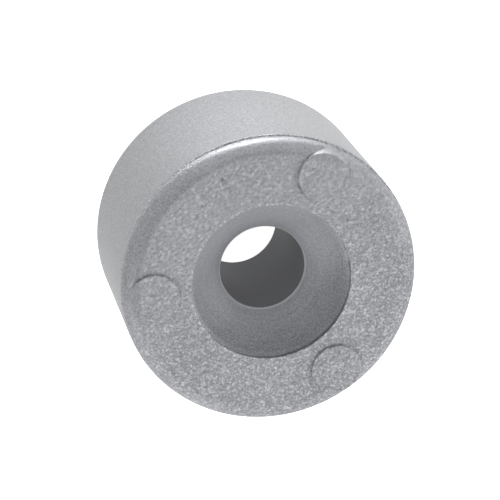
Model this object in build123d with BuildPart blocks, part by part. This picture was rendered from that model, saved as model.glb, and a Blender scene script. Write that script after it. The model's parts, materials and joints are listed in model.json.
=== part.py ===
from build123d import *
import os
from math import radians, tan

# Round bolt-on sacrificial anode, cast in zinc alloy as one piece.
# One countersunk screw holds it, and its flat back face seats on what it protects.
# The origin is the centre of the back face, and +Z runs along the screw to the front face.
# Sizes are in millimetres and degrees.

# Barrel, cast in the deep half of the mould
barrel_diameter = 38.0  # at the parting line, where the barrel is widest
body_length = 22.7  # back face to front face
barrel_draft = 1.1  # taper towards the back, which lets the casting leave its mould
back_edge_radius = 0.5

# Front end, cast in the shallow half of the mould
parting_depth = 1.7  # from the front face down to the parting line
parting_step = 0.25  # width of the ledge that the shallow half leaves inside the barrel's edge
parting_edge_radius = 0.12  # on the barrel's edge, outside the ledge
shoulder_draft = 6.0
shoulder_radius = 1.7

# Screw hole: a straight bore, a cone that seats the screw's head, and a short upright lip
bore_diameter = 11.0  # clearance hole for a 10 mm screw
seat_diameter = 20.4
seat_angle = 90.0  # across the cone
lip_depth = 0.9
bore_edge_radius = 0.3  # where the cone runs into the bore

# Ejector pads: low discs that the mould's pins leave on the front face
pad_count = 3
pad_diameter = 6.6  # across the top
pad_height = 0.3
pad_draft = 8.0  # taper of a pad's wall
pad_edge_radius = 0.12  # round the top
pad_rim_gap = 0.6  # from the outer side of a pad to the widest line of the barrel
first_pad_angle = 60.0

# Places that follow from the sizes above
barrel_radius = barrel_diameter / 2
parting_level = body_length - parting_depth
back_radius = barrel_radius - parting_level * tan(radians(barrel_draft))
shoulder_foot = barrel_radius - parting_step
shoulder_top = shoulder_foot - parting_depth * tan(radians(shoulder_draft))

bore_radius = bore_diameter / 2
seat_radius = seat_diameter / 2
lip_level = body_length - lip_depth
cone_level = lip_level - (seat_radius - bore_radius) / tan(radians(seat_angle / 2))
cutter_top = body_length + 2 * pad_height  # the hole's cutter stands clear of the pads

pad_radius = pad_diameter / 2
pad_rise = parting_depth + pad_height  # whole length of a pad's wall, most of it inside the body
pad_foot_radius = pad_radius + pad_rise * tan(radians(pad_draft))
pad_circle_radius = barrel_radius - pad_rim_gap - pad_radius


with BuildPart() as anode_casting:
    # Half section of the solid body: back edge, drafted barrel, parting ledge, rounded shoulder.
    # The pins leave their pads on the shoulder too, so the body is whole before the pads are added.
    with BuildSketch(Plane.XZ) as body_section:
        with BuildLine():
            Polyline(
                (0, 0),
                (back_radius, 0),
                (barrel_radius, parting_level),
                (shoulder_foot, parting_level),
                (shoulder_top, body_length),
                (0, body_length),
                close=True,
            )
        make_face()
        corners = body_section.vertices()
        back_corner = corners.sort_by_distance((back_radius, 0))[0]
        parting_corner = corners.sort_by_distance((barrel_radius, parting_level))[0]
        shoulder_corner = corners.sort_by_distance((shoulder_top, body_length))[0]
        fillet(back_corner, radius=back_edge_radius)
        fillet(parting_corner, radius=parting_edge_radius)
        fillet(shoulder_corner, radius=shoulder_radius)
    revolve(axis=Axis.Z)

    # Each pad rises from the parting level, so where it runs out over the shoulder it has a wall
    # that reaches down to the rounded surface.
    with BuildSketch(Plane.XY.offset(parting_level)):
        with PolarLocations(pad_circle_radius, pad_count, start_angle=first_pad_angle):
            Circle(pad_foot_radius)
    extrude(amount=pad_rise, taper=pad_draft)
    pad_rims = anode_casting.edges().filter_by(GeomType.CIRCLE).group_by(Axis.Z)[-1]
    fillet(pad_rims, radius=pad_edge_radius)

    # Half section of the screw hole, cut last so that nothing closes it.
    with BuildSketch(Plane.XZ) as hole_section:
        with BuildLine():
            Polyline(
                (0, 0),
                (bore_radius, 0),
                (bore_radius, cone_level),
                (seat_radius, lip_level),
                (seat_radius, cutter_top),
                (0, cutter_top),
                close=True,
            )
        make_face()
        bore_corner = hole_section.vertices().sort_by_distance((bore_radius, cone_level))[0]
        fillet(bore_corner, radius=bore_edge_radius)
    revolve(axis=Axis.Z, mode=Mode.SUBTRACT)

os.makedirs("parts", exist_ok=True)
anode_casting.part.label = "anode_casting"
export_step(anode_casting.part, "parts/anode_casting.step")
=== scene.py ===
import json
import math
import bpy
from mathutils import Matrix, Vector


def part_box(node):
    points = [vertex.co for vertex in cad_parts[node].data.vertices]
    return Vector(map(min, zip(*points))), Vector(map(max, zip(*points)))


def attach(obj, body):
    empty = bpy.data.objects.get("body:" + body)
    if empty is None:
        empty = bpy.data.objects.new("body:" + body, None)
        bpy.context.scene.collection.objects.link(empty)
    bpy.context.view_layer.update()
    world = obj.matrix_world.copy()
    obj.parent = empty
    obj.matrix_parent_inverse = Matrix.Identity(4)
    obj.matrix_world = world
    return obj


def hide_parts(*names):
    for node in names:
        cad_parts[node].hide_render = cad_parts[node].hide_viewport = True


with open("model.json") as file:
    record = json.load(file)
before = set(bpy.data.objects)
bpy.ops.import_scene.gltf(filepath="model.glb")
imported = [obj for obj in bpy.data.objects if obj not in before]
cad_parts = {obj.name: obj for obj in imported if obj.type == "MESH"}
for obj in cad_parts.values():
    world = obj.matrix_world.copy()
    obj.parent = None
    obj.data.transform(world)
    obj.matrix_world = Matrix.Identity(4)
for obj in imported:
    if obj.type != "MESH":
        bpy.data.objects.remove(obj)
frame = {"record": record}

from types import SimpleNamespace

import bmesh
import bpy
from mathutils import Matrix, Vector, noise

# A round bolt-on anode, cast in zinc alloy, standing on its back face in a pale studio.
# Lengths are in metres, the unit of the frame, and MM turns a size in millimetres to metres.

bl_info = {
    "name": "Cast Zinc Anode",
    "version": (1, 0, 0),
    "blender": (4, 5, 0),
    "location": "3D View > Sidebar > Anode",
    "description": "Models a cast zinc anode with its screw seat and ejector pads, and a studio round it",
    "category": "Object",
}

MM = 0.001
MERGE_GAP = 0.001 * MM  # points this close are the same point
WELD_GAP = 0.02 * MM  # slivers thinner than this are closed up
ARC_STEPS = 3  # fewest facets across a rounded edge
NEARLY_LEVEL = 0.9  # a face whose normal is more upright than this counts as level
CASTING_NODE = "anode_casting"
SKIN_SLOT, SEAT_SLOT, BORE_SLOT = range(3)  # the casting's materials, in the order they are added

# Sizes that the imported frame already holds
LOW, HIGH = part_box(CASTING_NODE)
BARREL_RADIUS = (HIGH[1] - LOW[1]) / 2
PAD_LEVEL = HIGH[2]
SCREW_BORE = next(mount for mount in frame["record"]["mounts"] if mount["name"] == "screw_bore")
BORE_RADIUS = SCREW_BORE["dims"]["r_mm"] * MM
BORE_LENGTH = SCREW_BORE["dims"]["length_mm"] * MM
MIDDLE = Vector((0.0, 0.0, PAD_LEVEL / 2))  # of the part

# Where a slow change across the part starts and ends, as shares of the barrel's radius from the axis
WORN_BAND = (0.1, 0.7)  # towards the side where the mould was worn smooth
ROUGH_BAND = (-0.6, 0.3)  # towards the side with the coarsest grain
LEDGE_BAND = (0.35, 0.98)  # towards the side where the parting ledge is widest
MOUTH_HIGHLIGHT_BAND = (-0.2173, 0.0)  # towards the worn side, where the seat's mouth has a painted highlight
SHOULDER_SHADE_BAND = (-0.7, -0.3)  # towards the worn side, up to where the shoulder's painted shade ends
PAINTED_LIGHT_BAND = (-0.2605, 0.3763)  # towards the side of the seat that has painted light

PIT_RAGGED = 0.5  # how much a pit's radius varies round its edge, as a share of it

# Gas pits on the front face: across, up, radius and depth in millimetres
PITS = (
    (-5.2, 14.4, 0.44, 0.44),
    (0.0, 13.8, 0.34, 0.18),
    (-8.0, 11.4, 0.44, 0.24),
    (-6.9, 13.6, 0.40, 0.26),
    (-8.1, 12.8, 0.46, 0.20),
    (-8.8, 10.2, 0.36, 0.26),
)

# Soft panels round the part: direction from +X and height above the horizon in degrees, then brightness
PANELS = (
    (270, 10, 2.4),
    (315, 10, 2.85),
    (0, 30, 3.0),
    (45, 30, 0.4),
    (135, 30, 0.4),
    (180, 30, 0.5),
    (225, 30, 2.6),
    (270, 30, 0.6),
    (90, 60, 1.0),
)

# Low strips behind the part: place and size in millimetres, then brightness
STRIPS = (
    ((0, 80, 10), (30, 17), 12.0),
    ((0, 50, 3), (50, 12), 8.0),
)


def length(name, about, value):
    """A length in metres that shows in the scene's units."""
    return bpy.props.FloatProperty(
        name=name, description=about, default=value, min=0.0, precision=5, unit="LENGTH")


def angle(name, about, degrees):
    """An angle that shows in degrees."""
    return bpy.props.FloatProperty(
        name=name, description=about, default=math.radians(degrees), subtype="ANGLE")


def share(name, about, value):
    """A number from 0 to 1."""
    return bpy.props.FloatProperty(name=name, description=about, default=value, min=0.0, max=1.0)


def number(name, about, value):
    """A plain number from 0 up."""
    return bpy.props.FloatProperty(name=name, description=about, default=value, min=0.0)


def hex_colour(name, about, value):
    """An sRGB colour written as a hex value."""
    return bpy.props.StringProperty(name=name, description=about, default=value)


def linear(hex_value):
    """Turn an sRGB hex value such as #A0A0A0 into linear red, green, blue and a full alpha."""
    channels = [int(hex_value[place:place + 2], 16) / 255 for place in (1, 3, 5)]
    return [c / 12.92 if c <= 0.04045 else ((c + 0.055) / 1.055) ** 2.4 for c in channels] + [1.0]


class AnodeCastingSizes(bpy.types.PropertyGroup):
    """The casting's forms: body, screw seat and ejector pads."""
    pad_height: length("Pad height", "How far an ejector pad stands above the front face", 0.3 * MM)
    pad_diameter: length("Pad diameter", "Across the top of one ejector pad", 6.6 * MM)
    pad_draft: angle("Pad draft", "Taper of a pad's wall", 8.0)
    pad_edge: length("Pad edge", "Rounding of a pad's top edge", 0.12 * MM)
    pad_rim_gap: length("Pad rim gap", "From a pad's outer side to the barrel's widest line", 0.6 * MM)
    pad_count: bpy.props.IntProperty(name="Pads", description="Ejector pads on the front", default=3)
    first_pad: angle("First pad", "Direction of the first pad, from +X", 60.0)
    parting_depth: length("Parting depth", "Front face down to the parting line", 1.7 * MM)
    parting_step: length("Parting step", "Width of the ledge at the parting line", 0.25 * MM)
    parting_edge: length("Parting edge", "Rounding of the barrel's edge at the ledge", 0.12 * MM)
    ledge_fillet: length("Ledge fillet", "Rounding in the ledge's inner corner", 0.1 * MM)
    shoulder_draft: angle("Shoulder draft", "Taper of the wall above the ledge", 6.0)
    shoulder_radius: length("Shoulder radius", "Rounding between that wall and the front face", 1.7 * MM)
    barrel_draft: angle("Barrel draft", "Taper of the barrel towards its back", 1.1)
    back_edge: length("Back edge", "Rounding of the back rim", 0.5 * MM)
    seat_diameter: length("Seat diameter", "Across the mouth of the screw seat", 20.4 * MM)
    seat_angle: angle("Seat angle", "Across the cone of the screw seat", 90.0)
    lip_depth: length("Lip depth", "Upright wall between the cone and the front face", 0.9 * MM)
    bore_edge: length("Bore edge", "Rounding where the cone runs into the bore", 0.3 * MM)


class AnodeReliefSizes(bpy.types.PropertyGroup):
    """Mesh spacing, and the relief that casting and wear leave on the true form."""
    wedges: bpy.props.IntProperty(
        name="Wedges", description="Equal wedges that make up the full turn", default=25, min=3)
    wedge_steps: bpy.props.IntProperty(
        name="Wedge steps", description="Facets round the axis in one wedge", default=24, min=1)
    fine_step: length("Fine step", "Mesh spacing on the front face", 0.18 * MM)
    seat_step: length("Seat step", "Mesh spacing down the screw seat", 0.3 * MM)
    plain_step: length("Plain step", "Mesh spacing on the barrel, bore and back", 0.9 * MM)
    crease: angle("Crease", "Edges that turn more than this stay crisp", 30.0)
    grain_width: length("Grain width", "Width of one lump of the front's cast grain", 0.4 * MM)
    grain_depth: length("Grain depth", "Depth of that grain", 0.03 * MM)
    rough_fade: length(
        "Rough fade", "How far down the shoulder the front's grain runs on its rough side", 2.5 * MM)
    worn_fade: length(
        "Worn fade", "Where the mould was worn smooth, width of the band that ends the grain", 0.45 * MM)
    worn_side: angle("Worn side", "Direction of the side where the mould was worn smooth", 125.0)
    rough_side: angle("Rough side", "Direction of the side with the coarsest grain", 285.0)
    skin_depth: length("Skin depth", "Depth of the grain on the barrel and shoulder", 0.004 * MM)
    sink_width: length("Sink width", "Width of the slow hollows left by cooling metal", 5.0 * MM)
    sink_depth: length("Sink depth", "Depth of those hollows", 0.02 * MM)
    wander_width: length("Wander width", "Length of one wave in a ragged edge", 1.6 * MM)
    mouth_wander: length("Mouth wander", "How far the seat's edge wanders from a true circle", 0.12 * MM)
    pad_wander: length("Pad wander", "How far a pad's edge wanders from a true circle", 0.09 * MM)
    wander_reach: length("Wander reach", "How far from an edge its wander is felt", 0.8 * MM)
    parting_wander: length("Parting wander", "How far the parting edge wanders in and out", 0.03 * MM)
    bead_width: length("Bead width", "Length of one wave of the parting edge", 0.7 * MM)
    bead_reach: length("Bead reach", "How far above and below the parting edge its wander is felt", 0.5 * MM)
    groove_depth: length(
        "Groove depth", "Depth of the groove that an ejector pin leaves round its pad", 0.03 * MM)
    groove_width: length("Groove width", "From the middle of that groove to its side", 0.2 * MM)
    pad_trim: length("Pad trim", "How far a pad's outer side is rubbed back at the rim", 0.2 * MM)
    trim_reach: length("Trim reach", "How far in from a pad's outer side it is rubbed", 0.8 * MM)
    pad_dish: length("Pad dish", "How far a pad's middle lies below its rim", 0.04 * MM)
    dish_slope: length("Dish slope", "From a pad's rim in to the flat of its dish", 0.54 * MM)
    ledge_filled: share(
        "Ledge filled", "Share of the ledge that is gone where the mould halves met true", 0.92)
    shift_side: angle("Shift side", "Direction in which the ledge is widest", 70.0)


class AnodeFinishPatterns(bpy.types.PropertyGroup):
    """Widths of the patterns in the finishes, and the depths that they seem to have."""
    lump_width: length(
        "Lump width", "Lumps of the front's skin, as wide as the grit in the mould's coating", 0.42 * MM)
    grit_width: length("Grit width", "Fine grit, all that shows on the smooth skin", 0.24 * MM)
    facet_width: length("Facet width", "Crystal facets, each with its own brightness", 0.36 * MM)
    patch_width: length("Patch width", "Patches of oxide", 5.0 * MM)
    # Painted highlight round the seat's mouth
    mouth_highlight_width: length("Mouth highlight width", "Band of painted highlight, in flecks, round the seat's mouth", 0.3 * MM)
    # Painted shade on the shoulder, between these two depths
    shoulder_shade_start: length(
        "Shoulder shade start", "From the front face down to where the shoulder's painted shade starts", 0.05 * MM)
    shoulder_shade_full: length("Shoulder shade full", "From the front face down to where that painted shade is full", 0.2 * MM)
    mottle_width: length("Mottle width", "Mottling of the cored seat, the fine skin of the metal", 0.2 * MM)
    ring_gap: length("Ring gap", "Between the rings that the turned core left on the seat", 0.3 * MM)
    ring_length: length("Ring length", "How far round the seat a ring runs before it breaks up", 4.0 * MM)
    rub_start: length("Rub start", "From the bore's wall to where its rubbed edge starts to fade", 0.08 * MM)
    rub_end: length("Rub end", "From the bore's wall to the end of its rubbed edge", 0.22 * MM)
    lump_bump: length("Lump bump", "Depth that the lumps seem to have in the light", 0.22 * MM)
    grit_bump: length("Grit bump", "Depth that the grit seems to have", 0.03 * MM)
    bead_bump: length("Bead bump", "Depth that it seems to have in the shoulder's corner", 0.2 * MM)
    seat_bump: length("Seat bump", "Depth that the seat's rings and mottling seem to have", 0.02 * MM)
    seat_bump_share: share("Seat bump share", "How much of that depth the light shows", 0.4)


class AnodeFinishColours(bpy.types.PropertyGroup):
    """Colours of the zinc where it was moulded and where it was cored."""
    bare_zinc: hex_colour("Bare zinc", "Crystal facets that shine in the cast skin", "#DBDCE0")
    dull_zinc: hex_colour("Dull zinc", "Oxide in the hollows of the cast skin", "#828489")
    barrel_zinc: hex_colour("Barrel zinc", "High spots of the skin from the mould's deep half", "#A0A1A4")
    barrel_oxide: hex_colour("Barrel oxide", "Hollows of that skin", "#636568")
    seat_zinc: hex_colour("Seat zinc", "High spots of the cored seat", "#D7D8DD")
    seat_oxide: hex_colour("Seat oxide", "Hollows of the cored seat", "#7C7D82")
    rubbed_zinc: hex_colour("Rubbed zinc", "Metal rubbed bright at the bore's edge", "#EAEAEC")
    # Painted shade in the bore: its dark colours, darkest at the back
    bore_back_shade: hex_colour("Bore back shade", "Painted shade at the back of the bore", "#6B6C6F")
    bore_front_shade: hex_colour("Bore front shade", "Lighter painted shade at the front of the bore", "#8E8F92")
    # Painted light: the seat is made brighter towards this side
    painted_light_side: angle("Painted light side", "Direction of the side that has painted light", 103.0)
    grain_roughness: share("Grain roughness", "Roughness of the coarse grain on the front", 0.6)
    skin_roughness: share("Skin roughness", "Roughness of the smooth skin on the barrel", 0.4)
    seat_roughness: share("Seat roughness", "Roughness of the cored seat", 0.5)
    bore_roughness: share("Bore roughness", "Roughness of the bore", 0.6)
    bare_metal: share("Bare metal", "Share of bare metal in the skin; the rest is matte zinc oxide", 0.4)


class AnodeStudioSettings(bpy.types.PropertyGroup):
    """Camera, floor and soft lights."""
    focal_length: number("Focal length", "Lens in millimetres, on a sensor 36 mm wide", 216.0)
    camera_distance: length("Camera distance", "From the point it looks at to the camera", 387.6 * MM)
    camera_swing: angle("Camera swing", "Turn of the camera round the screw's axis", -154.54)
    camera_tilt: angle("Camera tilt", "Lean of the camera away from the screw's axis", 23.22)
    camera_roll: angle("Camera roll", "Turn of the camera about its own line of sight", 148.22)
    aim: bpy.props.FloatVectorProperty(
        name="Aim", description="Point that the camera looks at", size=3,
        default=(-0.34 * MM, 0.27 * MM, 11.18 * MM), subtype="TRANSLATION")
    floor_size: length("Floor size", "Across the floor", 3.0)
    floor_colour: hex_colour("Floor", "Pale floor under the part", "#E8E8E8")
    floor_white: share("Floor white", "Share of plain white that the camera sees on the floor", 1.0)
    tent_light: number("Tent light", "Brightness of all the soft panels together", 1.0)
    tent_radius: length("Tent radius", "From the part to each panel", 450.0 * MM)
    panel_size: length("Panel size", "Across one square panel", 250.0 * MM)
    strip_light: number("Strip light", "Brightness of the low strips behind the part together", 1.0)


GROUPS = {
    "anode_sizes": AnodeCastingSizes,
    "anode_relief": AnodeReliefSizes,
    "anode_patterns": AnodeFinishPatterns,
    "anode_colours": AnodeFinishColours,
    "anode_studio": AnodeStudioSettings,
}


def settings():
    """The property groups on the open scene, in the order of GROUPS."""
    return [getattr(bpy.context.scene, name) for name in GROUPS]


# Body


def front_level(sizes):
    """Height of the flat front face."""
    return PAD_LEVEL - sizes.pad_height


def shoulder_wall(sizes):
    """Radius of the shoulder's wall at its foot and, before it is rounded, at its top."""
    foot = BARREL_RADIUS - sizes.parting_step
    return foot, foot - sizes.parting_depth * math.tan(sizes.shoulder_draft)


def half_section(sizes):
    """Corners of the half section as (radius, height, rounding), from the back of the bore outwards."""
    face_level = front_level(sizes)
    parting_level = face_level - sizes.parting_depth
    back_radius = BARREL_RADIUS - parting_level * math.tan(sizes.barrel_draft)
    shoulder_foot, shoulder_top = shoulder_wall(sizes)
    seat_radius = sizes.seat_diameter / 2
    lip_level = face_level - sizes.lip_depth
    cone_level = lip_level - (seat_radius - BORE_RADIUS) / math.tan(sizes.seat_angle / 2)
    return [
        (BORE_RADIUS, 0.0, 0.0),
        (back_radius, 0.0, sizes.back_edge),
        (BARREL_RADIUS, parting_level, sizes.parting_edge),
        (shoulder_foot, parting_level, sizes.ledge_fillet),
        (shoulder_top, face_level, sizes.shoulder_radius),
        (seat_radius, face_level, 0.0),
        (seat_radius, lip_level, 0.0),
        (BORE_RADIUS, cone_level, sizes.bore_edge),
    ]


def round_corner(bm, corner, radius, step):
    """Round one corner of a flat outline to an arc of that radius."""
    along = [(edge.other_vert(corner).co - corner.co).normalized() for edge in corner.link_edges]
    turn = math.pi - along[0].angle(along[1])
    bmesh.ops.bevel(
        bm, geom=[corner], offset=radius * math.tan(turn / 2), offset_type="OFFSET",
        segments=max(ARC_STEPS, round(radius * turn / step)), profile=0.5, affect="VERTICES", material=-1)


def step_at(point, sizes, relief):
    """Mesh spacing wanted at a point of the half section."""
    if point.z > front_level(sizes) - relief.fine_step:
        return relief.fine_step
    if point.x < sizes.seat_diameter / 2 + relief.fine_step and point.z > BORE_LENGTH:
        return relief.seat_step
    return relief.plain_step


def spun_body(sizes, relief):
    """Turn the half section about the screw's axis into one closed mesh."""
    bm = bmesh.new()
    corners = half_section(sizes)
    points = [bm.verts.new((radius, 0.0, height)) for radius, height, _ in corners]
    bm.faces.new(points)
    for point, (_, _, rounding) in zip(points, corners):
        if rounding:
            round_corner(bm, point, rounding, relief.fine_step)
    for edge in list(bm.edges):
        middle = (edge.verts[0].co + edge.verts[1].co) / 2
        cuts = round(edge.calc_length() / step_at(middle, sizes, relief)) - 1
        if cuts > 0:
            bmesh.ops.subdivide_edges(bm, edges=[edge], cuts=cuts)
    bmesh.ops.delete(bm, geom=list(bm.faces), context="FACES_ONLY")
    wedge_angle = math.tau / relief.wedges
    bmesh.ops.spin(
        bm, geom=list(bm.verts) + list(bm.edges), cent=(0, 0, 0), axis=(0, 0, 1), dvec=(0, 0, 0),
        angle=wedge_angle, steps=relief.wedge_steps, use_merge=False, use_duplicate=False)
    bmesh.ops.spin(
        bm, geom=list(bm.verts) + list(bm.edges) + list(bm.faces), cent=(0, 0, 0), axis=(0, 0, 1),
        dvec=(0, 0, 0), angle=math.tau - wedge_angle, steps=relief.wedges - 1,
        use_merge=False, use_duplicate=True)
    bmesh.ops.remove_doubles(bm, verts=list(bm.verts), dist=MERGE_GAP)
    bmesh.ops.recalc_face_normals(bm, faces=list(bm.faces))
    return bm


def pad_centres(sizes):
    """The pads' centres on the front face."""
    circle_radius = BARREL_RADIUS - sizes.pad_rim_gap - sizes.pad_diameter / 2
    turns = [sizes.first_pad + math.tau * count / sizes.pad_count for count in range(sizes.pad_count)]
    return [Vector((circle_radius * math.cos(turn), circle_radius * math.sin(turn))) for turn in turns]


def pads(sizes, relief):
    """Model the ejector pads as tapered discs that stand in the shoulder."""
    bm = bmesh.new()
    radius = sizes.pad_diameter / 2
    rise = sizes.pad_height + sizes.parting_depth
    foot_radius = radius + rise * math.tan(sizes.pad_draft)
    steps = round(math.tau * radius / relief.fine_step)
    rings = round(radius / relief.fine_step)
    for centre in pad_centres(sizes):
        place = Matrix.Translation((centre.x, centre.y, PAD_LEVEL - rise))
        disc = bmesh.ops.create_circle(bm, cap_ends=True, segments=steps, radius=foot_radius, matrix=place)
        foot = disc["verts"][0].link_faces[0]
        top = bmesh.ops.extrude_face_region(bm, geom=[foot], use_keep_orig=True)["geom"]
        top_verts = [item for item in top if isinstance(item, bmesh.types.BMVert)]
        top_face = next(item for item in top if isinstance(item, bmesh.types.BMFace))
        bmesh.ops.translate(bm, verts=top_verts, vec=(0.0, 0.0, rise))
        narrowing = radius / foot_radius
        bmesh.ops.scale(bm, verts=top_verts, vec=(narrowing, narrowing, 1.0), space=place.inverted())
        turn = math.pi / 2 - sizes.pad_draft
        bmesh.ops.bevel(
            bm, geom=list(top_face.edges), offset=sizes.pad_edge * math.tan(turn / 2),
            offset_type="OFFSET", segments=ARC_STEPS, profile=0.5, affect="EDGES", material=-1)
        peak = Vector((centre.x, centre.y, PAD_LEVEL))
        top_face = min(bm.faces, key=lambda face: (face.calc_center_median() - peak).length)
        for _ in range(rings - 1):
            bmesh.ops.inset_region(bm, faces=[top_face], thickness=relief.fine_step, use_even_offset=True)
        bmesh.ops.poke(bm, faces=[top_face])
        bmesh.ops.recalc_face_normals(bm, faces=list(bm.faces))
    return bm


def into_object(bm, name):
    """Write a bmesh to a new object in the scene."""
    mesh = bpy.data.meshes.new(name)
    bm.to_mesh(mesh)
    bm.free()
    made = bpy.data.objects.new(name, mesh)
    bpy.context.scene.collection.objects.link(made)
    return made


def fused(body, other):
    """The closed mesh of the body with another closed object fused to it."""
    union = body.modifiers.new("Fuse", "BOOLEAN")
    union.operation = "UNION"
    union.solver = "EXACT"
    union.object = other
    bm = bmesh.new()
    bm.from_object(body, bpy.context.evaluated_depsgraph_get())
    body.modifiers.clear()
    bpy.data.objects.remove(other)
    # The solver gives its points in no fixed order. Sorted by a sum of their coordinates that sets
    # them all apart, they weld the same way each time.
    bm.verts.sort(key=lambda vert: vert.co.x + math.pi * vert.co.y + math.e * vert.co.z)
    bmesh.ops.remove_doubles(bm, verts=list(bm.verts), dist=WELD_GAP)
    bmesh.ops.triangulate(bm, faces=[face for face in bm.faces if len(face.verts) > 4])
    bm.normal_update()
    return bm


# Cast relief


def ramp(value, low, high):
    """0 below low, 1 above high and an even slope between, eased at both ends."""
    part = min(max((value - low) / (high - low), 0.0), 1.0)
    return part * part * (3.0 - 2.0 * part)


def lumps(point, width):
    """Smooth random lumps of that width, from 0 to 1."""
    return 0.5 + 0.5 * noise.noise(point / width)


def towards(direction):
    """Unit vector, level with the floor, in that direction, in radians from +X."""
    return Vector((math.cos(direction), math.sin(direction), 0.0))


def rounding_start(sizes):
    """Radius at which the flat front face ends and the shoulder's rounding starts."""
    _, shoulder_top = shoulder_wall(sizes)
    turn = math.pi / 2 - sizes.shoulder_draft
    return shoulder_top - sizes.shoulder_radius * math.tan(turn / 2)


def skin_depth(point, sizes, relief):
    """How deep the cast skin lies below its true form at a point."""
    face_level = front_level(sizes)
    face_end = rounding_start(sizes)
    worn = ramp(point.dot(towards(relief.worn_side)) / BARREL_RADIUS, *WORN_BAND)
    coarse = ramp(point.z, face_level - relief.rough_fade, face_level)
    coarse_where_worn = ramp(math.hypot(point.x, point.y), face_end, face_end - relief.worn_fade)
    coarse += (coarse_where_worn - coarse) * worn
    sink = lumps(point, relief.sink_width)
    depth = relief.skin_depth + (relief.grain_depth - relief.skin_depth) * coarse
    return depth * lumps(point, relief.grain_width) + relief.sink_depth * sink


def pit_depth(point):
    """Depth of the gas pits at a point of the front face."""
    depth = 0.0
    for across, up, radius, deep in PITS:
        away = math.hypot(point.x - across * MM, point.y - up * MM)
        away *= 1.0 - PIT_RAGGED / 2 + PIT_RAGGED * lumps(point, radius * MM)
        depth = max(depth, deep * MM * (1.0 - ramp(away, 0.0, radius * MM)))
    return depth


def edge_wander(point, centre, radius, amount, relief):
    """Sideways move, away from centre, that makes a round edge ragged; it fades away from the edge."""
    out = Vector((point.x, point.y)) - centre
    fade = 1.0 - ramp(abs(out.length - radius), 0.0, relief.wander_reach)
    if fade == 0.0:
        return Vector((0.0, 0.0, 0.0))
    out.normalize()
    on_edge = Vector((centre.x + radius * out.x, centre.y + radius * out.y, 0.0))
    return Vector((out.x, out.y, 0.0)) * amount * fade * lumps(on_edge, relief.wander_width)


def ledge_fill(point, out, sizes, relief):
    """Outward move that fills the parting ledge, except on the side where the mould halves shifted."""
    face_level = front_level(sizes)
    filled = 1.0 - ramp(out.dot(towards(relief.shift_side)), *LEDGE_BAND)
    filled *= 1.0 - ramp(point.z, face_level - sizes.parting_depth, face_level)
    to_barrel = BARREL_RADIUS - math.hypot(point.x, point.y)
    return out * relief.ledge_filled * filled * min(sizes.parting_step, to_barrel)


def pad_relief(point, out, centre, sizes, relief):
    """Move near a pad: its rim wanders and is rubbed back, its foot is grooved and its top dished."""
    pad_radius = sizes.pad_diameter / 2
    foot_radius = pad_radius + sizes.pad_height * math.tan(sizes.pad_draft)
    from_centre = (point.xy - centre).length
    move = -edge_wander(point, centre, pad_radius, relief.pad_wander, relief)
    if point.z < front_level(sizes) + WELD_GAP:
        from_foot = abs(from_centre - foot_radius)
        move.z -= relief.groove_depth * (1.0 - ramp(from_foot, 0.0, relief.groove_width))
    else:
        outer_side = BARREL_RADIUS - sizes.pad_rim_gap
        rubbed = ramp(math.hypot(point.x, point.y), outer_side - relief.trim_reach, outer_side)
        move -= out * relief.pad_trim * rubbed
    if point.z > PAD_LEVEL - WELD_GAP:
        move.z -= relief.pad_dish * ramp(pad_radius - from_centre, 0.0, relief.dish_slope)
    return move


def roughen(bm, sizes, relief):
    """Mark the crisp edges, then press the cast relief into the smooth form."""
    for edge in bm.edges:
        edge.smooth = edge.calc_face_angle(0.0) < relief.crease
    face_level = front_level(sizes)
    parting_level = face_level - sizes.parting_depth
    lip_level = face_level - sizes.lip_depth
    seat_radius = sizes.seat_diameter / 2
    ledge_start = BARREL_RADIUS - 2 * sizes.parting_step  # just inside the foot of the shoulder
    centres = pad_centres(sizes)
    axis = Vector((0.0, 0.0))
    moves = []
    for vert in bm.verts:
        point = vert.co
        from_axis = math.hypot(point.x, point.y)
        out = Vector((point.x, point.y, 0.0)) / from_axis
        move = Vector((0.0, 0.0, 0.0))
        if from_axis > seat_radius and parting_level - sizes.parting_edge < point.z < face_level:
            move += ledge_fill(point, out, sizes, relief)
        if from_axis > seat_radius - WELD_GAP and point.z > sizes.back_edge:
            move -= vert.normal * skin_depth(point, sizes, relief)
        if point.z > face_level - WELD_GAP:
            move.z -= pit_depth(point)
        if point.z > lip_level:
            ragged = edge_wander(point, axis, seat_radius, relief.mouth_wander, relief)
            move += ragged * ramp(point.z, lip_level, face_level)
        near_parting = 1.0 - ramp(abs(point.z - parting_level), 0.0, relief.bead_reach)
        if from_axis > ledge_start and near_parting > 0.0:
            move -= out * relief.parting_wander * near_parting * lumps(point, relief.bead_width)
        if from_axis > seat_radius and point.z > parting_level + MERGE_GAP:
            centre = min(centres, key=lambda each: (each - point.xy).length)
            move += pad_relief(point, out, centre, sizes, relief)
        moves.append((vert, move))
    for vert, move in moves:
        vert.co += move


def lay_materials(bm, sizes):
    """Give the walls of the screw hole the seat's and the bore's materials, and all the rest the skin's."""
    hole_radius = sizes.seat_diameter / 2 + WELD_GAP
    for face in bm.faces:
        face.smooth = True
        from_axis = face.calc_center_median().xy.length
        if from_axis >= hole_radius or abs(face.normal.z) >= NEARLY_LEVEL:
            face.material_index = SKIN_SLOT
        elif from_axis < BORE_RADIUS + MERGE_GAP:
            face.material_index = BORE_SLOT
        else:
            face.material_index = SEAT_SLOT


# Finishes

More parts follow.
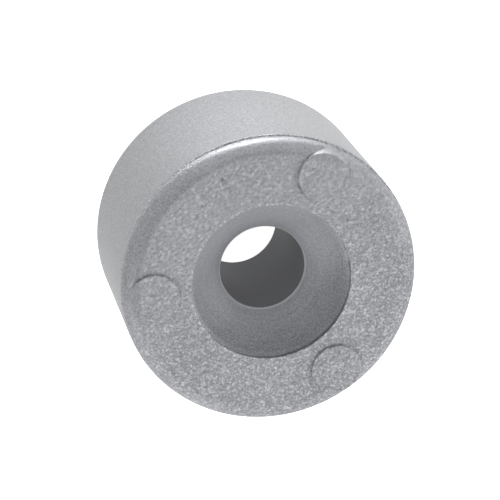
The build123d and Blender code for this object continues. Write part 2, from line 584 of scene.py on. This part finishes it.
# Brightness of the cast skin, built up from these and then brought to 0 for oxide and 1 for bare metal
OXIDE_SHADE, BARE_SHADE = 0.5, 1.77
DULL_FACET, BRIGHT_FACET = 0.426, 0.786  # most crystal facets, and the brightest
GLINT_START = 0.7  # a facet's own brightness, from 0 to 1, above which it glints
LUMP_SHADE = 0.72  # from the hollows of the grain to the tops of its lumps
GAP_SHADE, FLECK_SHADE = -0.112, 0.488  # between the rough side's flecks, and on them
FLECK_BAND = (0.5, 0.75)  # height in the grit where such a fleck starts, and where it is full
SMOOTH_SHADE, GRIT_SHADE = 0.36, 0.6  # the smooth skin, and what the grit adds to it
PATCH_SHADE = 0.3  # from one patch of oxide to the next
MOUTH_HIGHLIGHT_SHADE = 0.55  # painted highlight at the seat's mouth
SHOULDER_SHADE = -0.24  # painted shade on the shoulder, away from the worn side
PARTING_HIGHLIGHT_SHARE = 0.35  # of near-white colour in the painted highlight along the parting edge
HIGHLIGHT_FLECK_BAND = (0.45, 0.65)  # grit heights where a fleck of the painted highlights starts and is full

# Brightness of the cored seat, from 0 for oxide to 1 for bare metal
RING_SHARE = 0.2  # of the rings in the seat's relief, beside 1 for its mottling
SEAT_HOLLOW, SEAT_TOP = 0.36, 0.96  # lowest and highest of that relief
HOLLOW_SHADE, TOP_SHADE = 0.12, 0.62  # how bright those two are
PAINTED_LIGHT_SHADE = 0.4  # painted light on one side of the seat
SEAT_MOUTH_SHADE = 0.28  # painted shade, taken off towards the seat's mouth
SEAT_MOUTH_SHADE_START = 1.2 * BORE_RADIUS  # distance from the axis where that painted shade starts
RUBBED_SHARE = 0.8  # of rubbed metal at the edge of the bore


def add_node(tree, kind, inputs=None, **properties):
    """Add one node: properties are its own settings, inputs are values, nodes or nodes' outputs."""
    node = tree.nodes.new(kind)
    for name, value in properties.items():
        setattr(node, name, value)
    for socket, value in (inputs or {}).items():
        if isinstance(value, bpy.types.Node):
            value = value.outputs[0]
        if isinstance(value, bpy.types.NodeSocket):
            tree.links.new(value, node.inputs[socket])
        else:
            node.inputs[socket].default_value = value
    return node


def per_metre(width):
    """Texture scale that makes one lump or cell of a pattern that wide."""
    return 1.0 / width


def new_material(name):
    """An empty node material and its tree."""
    material = bpy.data.materials.new(name)
    material.use_nodes = True
    material.node_tree.nodes.clear()
    return material, material.node_tree


def axis_distance(tree, place):
    """Distance of a point from the screw's axis."""
    level = add_node(tree, "ShaderNodeVectorMath", {0: place, 1: (1.0, 1.0, 0.0)}, operation="MULTIPLY")
    return add_node(tree, "ShaderNodeVectorMath", {0: level}, operation="LENGTH").outputs["Value"]


def side_share(tree, place, direction):
    """How far a point lies towards a direction, as a share of the barrel's radius."""
    return add_node(tree, "ShaderNodeVectorMath", {
        0: place, 1: towards(direction) / BARREL_RADIUS}, operation="DOT_PRODUCT").outputs["Value"]


def coarse_share(tree, skin, sizes, relief):
    """1 where the front's grain is at its coarsest, 0 where the skin is smooth."""
    # The front half of the mould was rough; its grain fades out down the shoulder
    down_shoulder = add_node(tree, "ShaderNodeMapRange", {
        "Value": skin.below, "From Max": relief.rough_fade, "To Min": 1.0, "To Max": 0.0,
        }, interpolation_type="SMOOTHSTEP")
    # Along one side the mould was worn smooth, so there the grain ends with the flat of the face
    face_end = rounding_start(sizes)
    across_face = add_node(tree, "ShaderNodeMapRange", {
        "Value": skin.radius, "From Min": face_end - relief.worn_fade, "From Max": face_end,
        "To Min": 1.0, "To Max": 0.0}, interpolation_type="SMOOTHSTEP")
    worn_share = add_node(tree, "ShaderNodeMapRange", {
        "Value": skin.worn, "From Min": WORN_BAND[0], "From Max": WORN_BAND[1],
        }, interpolation_type="SMOOTHSTEP")
    return add_node(tree, "ShaderNodeMix", {0: worn_share, 2: down_shoulder, 3: across_face})


def skin_inputs(tree, sizes, relief, patterns):
    """What the parts of the cast skin share: where a point lies, the grain and how coarse it is."""
    place = add_node(tree, "ShaderNodeTexCoord").outputs["Object"]
    height = add_node(tree, "ShaderNodeSeparateXYZ", {0: place}).outputs["Z"]
    below = add_node(tree, "ShaderNodeMath", {0: front_level(sizes), 1: height}, operation="SUBTRACT")
    # Lumps of 0.42 mm, the width of the grit in the mould's coating
    grain = add_node(tree, "ShaderNodeTexNoise", {
        "Vector": place, "Scale": per_metre(patterns.lump_width), "Detail": 1.0, "Roughness": 0.6})
    # Grit of 0.24 mm, all that shows on the smooth skin
    grit = add_node(tree, "ShaderNodeTexNoise", {
        "Vector": place, "Scale": per_metre(patterns.grit_width), "Detail": 0.0})
    # The painted highlights break up into flecks as small as the grit
    highlight_flecks = add_node(tree, "ShaderNodeMapRange", {
        "Value": grit, "From Min": HIGHLIGHT_FLECK_BAND[0], "From Max": HIGHLIGHT_FLECK_BAND[1]})
    skin = SimpleNamespace(
        place=place, below=below, radius=axis_distance(tree, place),
        worn=side_share(tree, place, relief.worn_side), grain=grain, grit=grit, highlight_flecks=highlight_flecks)
    skin.coarse = coarse_share(tree, skin, sizes, relief)
    return skin


def front_shade(tree, skin, relief, patterns):
    """Brightness of the skin that the front half of the mould left, as it was cast."""
    # Crystal facets of 0.36 mm, each with its own brightness
    facets = add_node(tree, "ShaderNodeTexVoronoi", {
        "Vector": skin.place, "Scale": per_metre(patterns.facet_width)}).outputs["Color"]
    facet = add_node(tree, "ShaderNodeSeparateColor", {0: facets})
    glint = add_node(tree, "ShaderNodeMapRange", {
        "Value": facet, "From Min": GLINT_START, "From Max": 1.0,
        "To Min": DULL_FACET, "To Max": BRIGHT_FACET})
    grainy = add_node(tree, "ShaderNodeMath", {
        0: skin.grain, 1: LUMP_SHADE, 2: glint}, operation="MULTIPLY_ADD")
    # Flecks of crystal as small as the grit, more of them on the rough side
    fleck = add_node(tree, "ShaderNodeMapRange", {
        "Value": skin.grit, "From Min": FLECK_BAND[0], "From Max": FLECK_BAND[1],
        "To Min": GAP_SHADE, "To Max": FLECK_SHADE})
    rough = add_node(tree, "ShaderNodeMapRange", {
        "Value": side_share(tree, skin.place, relief.rough_side),
        "From Min": ROUGH_BAND[0], "From Max": ROUGH_BAND[1]})
    grainy = add_node(tree, "ShaderNodeMath", {0: fleck, 1: rough, 2: grainy}, operation="MULTIPLY_ADD")
    smooth = add_node(tree, "ShaderNodeMath", {
        0: skin.grit, 1: GRIT_SHADE, 2: SMOOTH_SHADE}, operation="MULTIPLY_ADD")
    shade = add_node(tree, "ShaderNodeMix", {0: skin.coarse, 2: smooth, 3: grainy})
    # Patches of oxide 5 mm across
    patches = add_node(tree, "ShaderNodeTexNoise", {
        "Vector": skin.place, "Scale": per_metre(patterns.patch_width), "Detail": 3.0, "Roughness": 0.6})
    return add_node(tree, "ShaderNodeMath", {0: patches, 1: PATCH_SHADE, 2: shade}, operation="MULTIPLY_ADD")


def with_painted_mouth_highlight(tree, shade, skin, sizes, relief, patterns):
    """Paint a highlight round the seat's mouth, broken into flecks."""
    mouth_radius = sizes.seat_diameter / 2 + relief.mouth_wander
    mouth_highlight = add_node(tree, "ShaderNodeMapRange", {
        "Value": skin.radius, "From Min": mouth_radius, "From Max": mouth_radius + patterns.mouth_highlight_width,
        "To Min": MOUTH_HIGHLIGHT_SHADE, "To Max": 0.0})
    mouth_highlight = add_node(tree, "ShaderNodeMath", {0: mouth_highlight, 1: skin.highlight_flecks}, operation="MULTIPLY")
    # The painted highlight lies mostly on the worn side
    highlight_side = add_node(tree, "ShaderNodeMapRange", {
        "Value": skin.worn, "From Min": MOUTH_HIGHLIGHT_BAND[0], "From Max": MOUTH_HIGHLIGHT_BAND[1]})
    return add_node(tree, "ShaderNodeMath", {0: mouth_highlight, 1: highlight_side, 2: shade}, operation="MULTIPLY_ADD")


def with_painted_shoulder_shade(tree, shade, skin, patterns):
    """Paint shade on the shoulder away from the worn side."""
    shoulder = add_node(tree, "ShaderNodeMapRange", {
        "Value": skin.below, "From Min": patterns.shoulder_shade_start, "From Max": patterns.shoulder_shade_full})
    shaded_side = add_node(tree, "ShaderNodeMapRange", {
        "Value": skin.worn, "From Min": SHOULDER_SHADE_BAND[0], "From Max": SHOULDER_SHADE_BAND[1],
        "To Min": SHOULDER_SHADE, "To Max": 0.0})
    return add_node(tree, "ShaderNodeMath", {0: shoulder, 1: shaded_side, 2: shade}, operation="MULTIPLY_ADD")


def painted_parting_highlight(tree, skin, sizes):
    """Share of the painted highlight along the parting edge, broken into flecks."""
    half_edge = sizes.parting_edge / 2
    from_edge = add_node(tree, "ShaderNodeMath", {
        0: skin.below, 1: sizes.parting_depth + half_edge}, operation="SUBTRACT")
    from_edge = add_node(tree, "ShaderNodeMath", {0: from_edge}, operation="ABSOLUTE")
    near_edge = add_node(tree, "ShaderNodeMapRange", {
        "Value": from_edge, "From Min": half_edge, "From Max": 3 * half_edge,
        "To Min": PARTING_HIGHLIGHT_SHARE, "To Max": 0.0})
    return add_node(tree, "ShaderNodeMath", {0: near_edge, 1: skin.highlight_flecks}, operation="MULTIPLY")


def skin_bump(tree, skin, deep, sizes, patterns):
    """Relief too fine for the mesh: grit all over, and lumps where the skin is coarse."""
    # Metal that chilled first in the shoulder's corner is beaded
    grit_bump = add_node(tree, "ShaderNodeMapRange", {
        "Value": skin.below, "From Min": sizes.parting_depth / 2, "From Max": sizes.parting_depth,
        "To Min": patterns.grit_bump, "To Max": patterns.bead_bump})
    grit_bump = add_node(tree, "ShaderNodeMix", {0: deep, 2: grit_bump, 3: patterns.grit_bump})
    fine = add_node(tree, "ShaderNodeBump", {"Height": skin.grit, "Strength": 1.0, "Distance": grit_bump})
    return add_node(tree, "ShaderNodeBump", {
        "Height": skin.grain, "Strength": skin.coarse, "Distance": patterns.lump_bump,
        "Normal": fine})


def cast_zinc_skin(sizes, relief, patterns, colours):
    """Zinc alloy, gravity die-cast: dull grey metal with bright crystal facets, coarse on the front."""
    material, tree = new_material("zinc alloy, die-cast skin")
    skin = skin_inputs(tree, sizes, relief, patterns)
    shade = front_shade(tree, skin, relief, patterns)
    # Painted highlight at the seat's mouth
    shade = with_painted_mouth_highlight(tree, shade, skin, sizes, relief, patterns)
    # Painted shade on the shoulder, away from the worn side
    shade = with_painted_shoulder_shade(tree, shade, skin, patterns)
    shade = add_node(tree, "ShaderNodeMapRange", {
        "Value": shade, "From Min": OXIDE_SHADE, "From Max": BARE_SHADE})
    colour = add_node(tree, "ShaderNodeMix", {
        0: shade, 6: linear(colours.dull_zinc), 7: linear(colours.bare_zinc)}, data_type="RGBA").outputs[2]

    # The deep half of the mould, below the parting line, leaves a slightly darker skin
    barrel_colour = add_node(tree, "ShaderNodeMix", {
        0: skin.grit, 6: linear(colours.barrel_oxide), 7: linear(colours.barrel_zinc),
        }, data_type="RGBA").outputs[2]
    deep = add_node(tree, "ShaderNodeMapRange", {
        "Value": skin.below, "From Min": sizes.parting_depth,
        "From Max": sizes.parting_depth + sizes.parting_edge})
    colour = add_node(tree, "ShaderNodeMix", {
        0: deep, 6: colour, 7: barrel_colour}, data_type="RGBA").outputs[2]
    # Painted highlight in flecks along the parting edge
    colour = add_node(tree, "ShaderNodeMix", {
        0: painted_parting_highlight(tree, skin, sizes), 6: colour, 7: linear(colours.bare_zinc),
        }, data_type="RGBA").outputs[2]

    # Coarse grain scatters light more than the smooth skin does
    dull = add_node(tree, "ShaderNodeMix", {
        0: skin.coarse, 2: colours.skin_roughness, 3: colours.grain_roughness})
    shader = add_node(tree, "ShaderNodeBsdfPrincipled", {
        "Base Color": colour, "Metallic": colours.bare_metal, "Roughness": dull,
        "Normal": skin_bump(tree, skin, deep, sizes, patterns)})
    add_node(tree, "ShaderNodeOutputMaterial", {0: shader})
    return material


def seat_relief(tree, place, radius, patterns):
    """Mottled skin of the seat, with faint rings from the turning of the core."""
    # Mottling 0.2 mm wide, the fine skin of the metal
    mottle = add_node(tree, "ShaderNodeTexNoise", {
        "Vector": place, "Scale": per_metre(patterns.mottle_width), "Detail": 1.0, "Roughness": 0.6})
    # Rings 0.3 mm apart that break up every 4 mm round the cone: noise squeezed along the radius
    squeezed = add_node(tree, "ShaderNodeMath", {
        0: radius, 1: patterns.ring_length / patterns.ring_gap}, operation="MULTIPLY")
    across = add_node(tree, "ShaderNodeSeparateXYZ", {0: place}).outputs
    streaks = add_node(tree, "ShaderNodeCombineXYZ", {0: across[0], 1: across[1], 2: squeezed})
    rings = add_node(tree, "ShaderNodeTexNoise", {
        "Vector": streaks, "Scale": per_metre(patterns.ring_length), "Detail": 1.0, "Roughness": 0.5})
    return add_node(tree, "ShaderNodeMath", {0: rings, 1: RING_SHARE, 2: mottle}, operation="MULTIPLY_ADD")


def seat_shade(tree, place, radius, relief, sizes, colours):
    """Brightness of the seat: its relief, with painted light towards one side and painted shade towards the
    mouth.
    """
    shade = add_node(tree, "ShaderNodeMapRange", {
        "Value": relief, "From Min": SEAT_HOLLOW, "From Max": SEAT_TOP,
        "To Min": HOLLOW_SHADE, "To Max": TOP_SHADE})
    # Painted light: the seat is made brighter towards one side
    painted_light = add_node(tree, "ShaderNodeMapRange", {
        "Value": side_share(tree, place, colours.painted_light_side),
        "From Min": PAINTED_LIGHT_BAND[0], "From Max": PAINTED_LIGHT_BAND[1], "To Max": PAINTED_LIGHT_SHADE})
    shade = add_node(tree, "ShaderNodeMath", {0: shade, 1: painted_light}, operation="ADD")
    # Painted shade: the seat is made darker towards its mouth
    mouth_shade = add_node(tree, "ShaderNodeMapRange", {
        "Value": radius, "From Min": SEAT_MOUTH_SHADE_START, "From Max": sizes.seat_diameter / 2,
        "To Max": SEAT_MOUTH_SHADE})
    return add_node(tree, "ShaderNodeMath", {0: shade, 1: mouth_shade}, operation="SUBTRACT")


def cored_zinc_seat(sizes, patterns, colours):
    """Zinc alloy against a turned steel core: smoother and dull, with faint rings from the core's turning."""
    material, tree = new_material("zinc alloy, cored seat")
    place = add_node(tree, "ShaderNodeTexCoord").outputs["Object"]
    radius = axis_distance(tree, place)
    relief = seat_relief(tree, place, radius, patterns)
    colour = add_node(tree, "ShaderNodeMix", {
        0: seat_shade(tree, place, radius, relief, sizes, colours),
        6: linear(colours.seat_oxide), 7: linear(colours.seat_zinc)}, data_type="RGBA").outputs[2]
    # The rounded edge of the bore is rubbed bright by screws
    rubbed = add_node(tree, "ShaderNodeMapRange", {
        "Value": radius, "From Min": BORE_RADIUS + patterns.rub_start,
        "From Max": BORE_RADIUS + patterns.rub_end, "To Min": RUBBED_SHARE, "To Max": 0.0})
    colour = add_node(tree, "ShaderNodeMix", {
        0: rubbed, 6: colour, 7: linear(colours.rubbed_zinc)}, data_type="RGBA").outputs[2]
    bump = add_node(tree, "ShaderNodeBump", {
        "Height": relief, "Strength": patterns.seat_bump_share, "Distance": patterns.seat_bump})
    shader = add_node(tree, "ShaderNodeBsdfPrincipled", {
        "Base Color": colour, "Metallic": colours.bare_metal, "Roughness": colours.seat_roughness,
        "Normal": bump})
    add_node(tree, "ShaderNodeOutputMaterial", {0: shader})
    return material


def bore_with_painted_shade(colours):
    """Zinc alloy in the bore, with painted shade: dark colours, darkest at the back."""
    material, tree = new_material("zinc alloy, bore with painted shade")
    place = add_node(tree, "ShaderNodeTexCoord").outputs["Object"]
    height = add_node(tree, "ShaderNodeSeparateXYZ", {0: place}).outputs["Z"]
    # Painted shade, darker towards the back of the bore
    forward = add_node(tree, "ShaderNodeMapRange", {"Value": height, "From Max": BORE_LENGTH})
    colour = add_node(tree, "ShaderNodeMix", {
        0: forward, 6: linear(colours.bore_back_shade), 7: linear(colours.bore_front_shade),
        }, data_type="RGBA").outputs[2]
    shader = add_node(tree, "ShaderNodeBsdfPrincipled", {
        "Base Color": colour, "Metallic": colours.bare_metal, "Roughness": colours.bore_roughness})
    add_node(tree, "ShaderNodeOutputMaterial", {0: shader})
    return material


def seen_rays(tree):
    """1 for the rays of the camera, of reflections and of clear materials, 0 for the rest."""
    rays = add_node(tree, "ShaderNodeLightPath").outputs
    seen = add_node(tree, "ShaderNodeMath", {
        0: rays["Is Camera Ray"], 1: rays["Is Glossy Ray"]}, operation="ADD")
    return add_node(tree, "ShaderNodeMath", {0: seen, 1: rays["Is Transmission Ray"]}, operation="ADD")


def pale_floor(studio):
    """Matte floor that the camera and reflections see as white, and that keeps the part's shadow."""
    material, tree = new_material("studio floor, matte paint")
    white = add_node(tree, "ShaderNodeMath", {
        0: seen_rays(tree), 1: studio.floor_white}, operation="MULTIPLY")
    paint = add_node(tree, "ShaderNodeBsdfDiffuse", {"Color": linear(studio.floor_colour)})
    glow = add_node(tree, "ShaderNodeEmission", {"Color": (1.0, 1.0, 1.0, 1.0), "Strength": white})
    both = add_node(tree, "ShaderNodeAddShader", {0: paint, 1: glow})
    add_node(tree, "ShaderNodeOutputMaterial", {0: both})
    return material


# Operators


class ANODE_OT_casting(bpy.types.Operator):
    """Model the casting and give it its finish"""
    bl_idname = "anode.casting"
    bl_label = "Casting"

    def execute(self, context):
        sizes, relief, patterns, colours, _ = settings()
        casting = into_object(spun_body(sizes, relief), "cast_zinc_anode")
        bm = fused(casting, into_object(pads(sizes, relief), "pads"))
        roughen(bm, sizes, relief)
        lay_materials(bm, sizes)
        bm.to_mesh(casting.data)
        bm.free()
        casting.data.materials.append(cast_zinc_skin(sizes, relief, patterns, colours))
        casting.data.materials.append(cored_zinc_seat(sizes, patterns, colours))
        # The bore's colours hold painted shade
        casting.data.materials.append(bore_with_painted_shade(colours))
        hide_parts(CASTING_NODE)
        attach(casting, "root")
        return {"FINISHED"}


def soft_lamp(name, place, size, brightness):
    """A rectangular lamp aimed at the part's middle, as bright as that many times plain white."""
    light = bpy.data.lights.new(name, "AREA")
    light.shape = "RECTANGLE"
    light.size, light.size_y = size
    light.energy = math.pi * light.size * light.size_y * brightness
    lamp = bpy.data.objects.new(name, light)
    aimed = (MIDDLE - place).to_track_quat("-Z", "Y")
    lamp.matrix_world = Matrix.Translation(place) @ aimed.to_matrix().to_4x4()
    lamp.visible_camera = False
    bpy.context.scene.collection.objects.link(lamp)


def hang_lamps(studio):
    """A tent of soft panels round and over the part, and low strips behind it."""
    panel = (studio.panel_size, studio.panel_size)
    for count, (direction, height, brightness) in enumerate(PANELS, 1):
        rise = math.radians(height)
        out = towards(math.radians(direction)) * math.cos(rise)
        place = MIDDLE + (out + Vector((0.0, 0.0, math.sin(rise)))) * studio.tent_radius
        soft_lamp(f"panel {count}", place, panel, brightness * studio.tent_light)
    for count, (place, size, brightness) in enumerate(STRIPS, 1):
        soft_lamp(f"strip {count}", Vector(place) * MM, Vector(size) * MM, brightness * studio.strip_light)


def set_floor(studio):
    """Lay the floor that the part stands on."""
    bm = bmesh.new()
    bmesh.ops.create_grid(bm, x_segments=1, y_segments=1, size=studio.floor_size / 2)
    floor = into_object(bm, "floor")
    floor.data.materials.append(pale_floor(studio))


def set_world():
    """White all round for the camera and in reflections; it adds nothing to matte surfaces."""
    world = bpy.data.worlds.new("studio")
    world.use_nodes = True
    tree = world.node_tree
    tree.nodes.clear()
    light = add_node(tree, "ShaderNodeBackground", {
        "Color": (1.0, 1.0, 1.0, 1.0), "Strength": seen_rays(tree)})
    add_node(tree, "ShaderNodeOutputWorld", {0: light})
    bpy.context.scene.world = world


def set_camera(studio):
    """Look at the front face from a little off the screw's axis."""
    lens = bpy.data.cameras.new("camera")
    lens.lens = studio.focal_length
    lens.clip_start = 10.0 * MM
    camera = bpy.data.objects.new("camera", lens)
    turn = (Matrix.Rotation(studio.camera_swing, 4, "Z")
            @ Matrix.Rotation(studio.camera_tilt, 4, "X")
            @ Matrix.Rotation(studio.camera_roll, 4, "Z"))
    back = Matrix.Translation((0.0, 0.0, studio.camera_distance))
    camera.matrix_world = Matrix.Translation(studio.aim) @ turn @ back
    scene = bpy.context.scene
    scene.collection.objects.link(camera)
    scene.camera = camera
    scene.view_settings.view_transform = "Standard"


class ANODE_OT_studio(bpy.types.Operator):
    """Lay the floor, hang the lights and set the camera"""
    bl_idname = "anode.studio"
    bl_label = "Studio"

    def execute(self, context):
        *_, studio = settings()
        set_floor(studio)
        set_world()
        hang_lamps(studio)
        set_camera(studio)
        return {"FINISHED"}


class ANODE_PT_panel(bpy.types.Panel):
    """Lists the anode's operators and sizes"""
    bl_label = "Anode"
    bl_idname = "ANODE_PT_panel"
    bl_space_type = "VIEW_3D"
    bl_region_type = "UI"
    bl_category = "Anode"

    def draw(self, context):
        self.layout.operator("anode.casting")
        self.layout.operator("anode.studio")
        for group in settings():
            box = self.layout.box()
            for name in group.__annotations__:
                box.prop(group, name)


CLASSES = (*GROUPS.values(), ANODE_OT_casting, ANODE_OT_studio, ANODE_PT_panel)


def register():
    """Register the classes and put the property groups on the scene."""
    for each in CLASSES:
        bpy.utils.register_class(each)
    for name, group in GROUPS.items():
        setattr(bpy.types.Scene, name, bpy.props.PointerProperty(type=group))


def unregister():
    """Take the property groups off the scene and unregister the classes."""
    for name in GROUPS:
        delattr(bpy.types.Scene, name)
    for each in reversed(CLASSES):
        bpy.utils.unregister_class(each)


def main():
    """Build the scene."""
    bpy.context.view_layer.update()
    register()
    bpy.ops.anode.casting()
    bpy.ops.anode.studio()


if __name__ == "__main__":
    main()
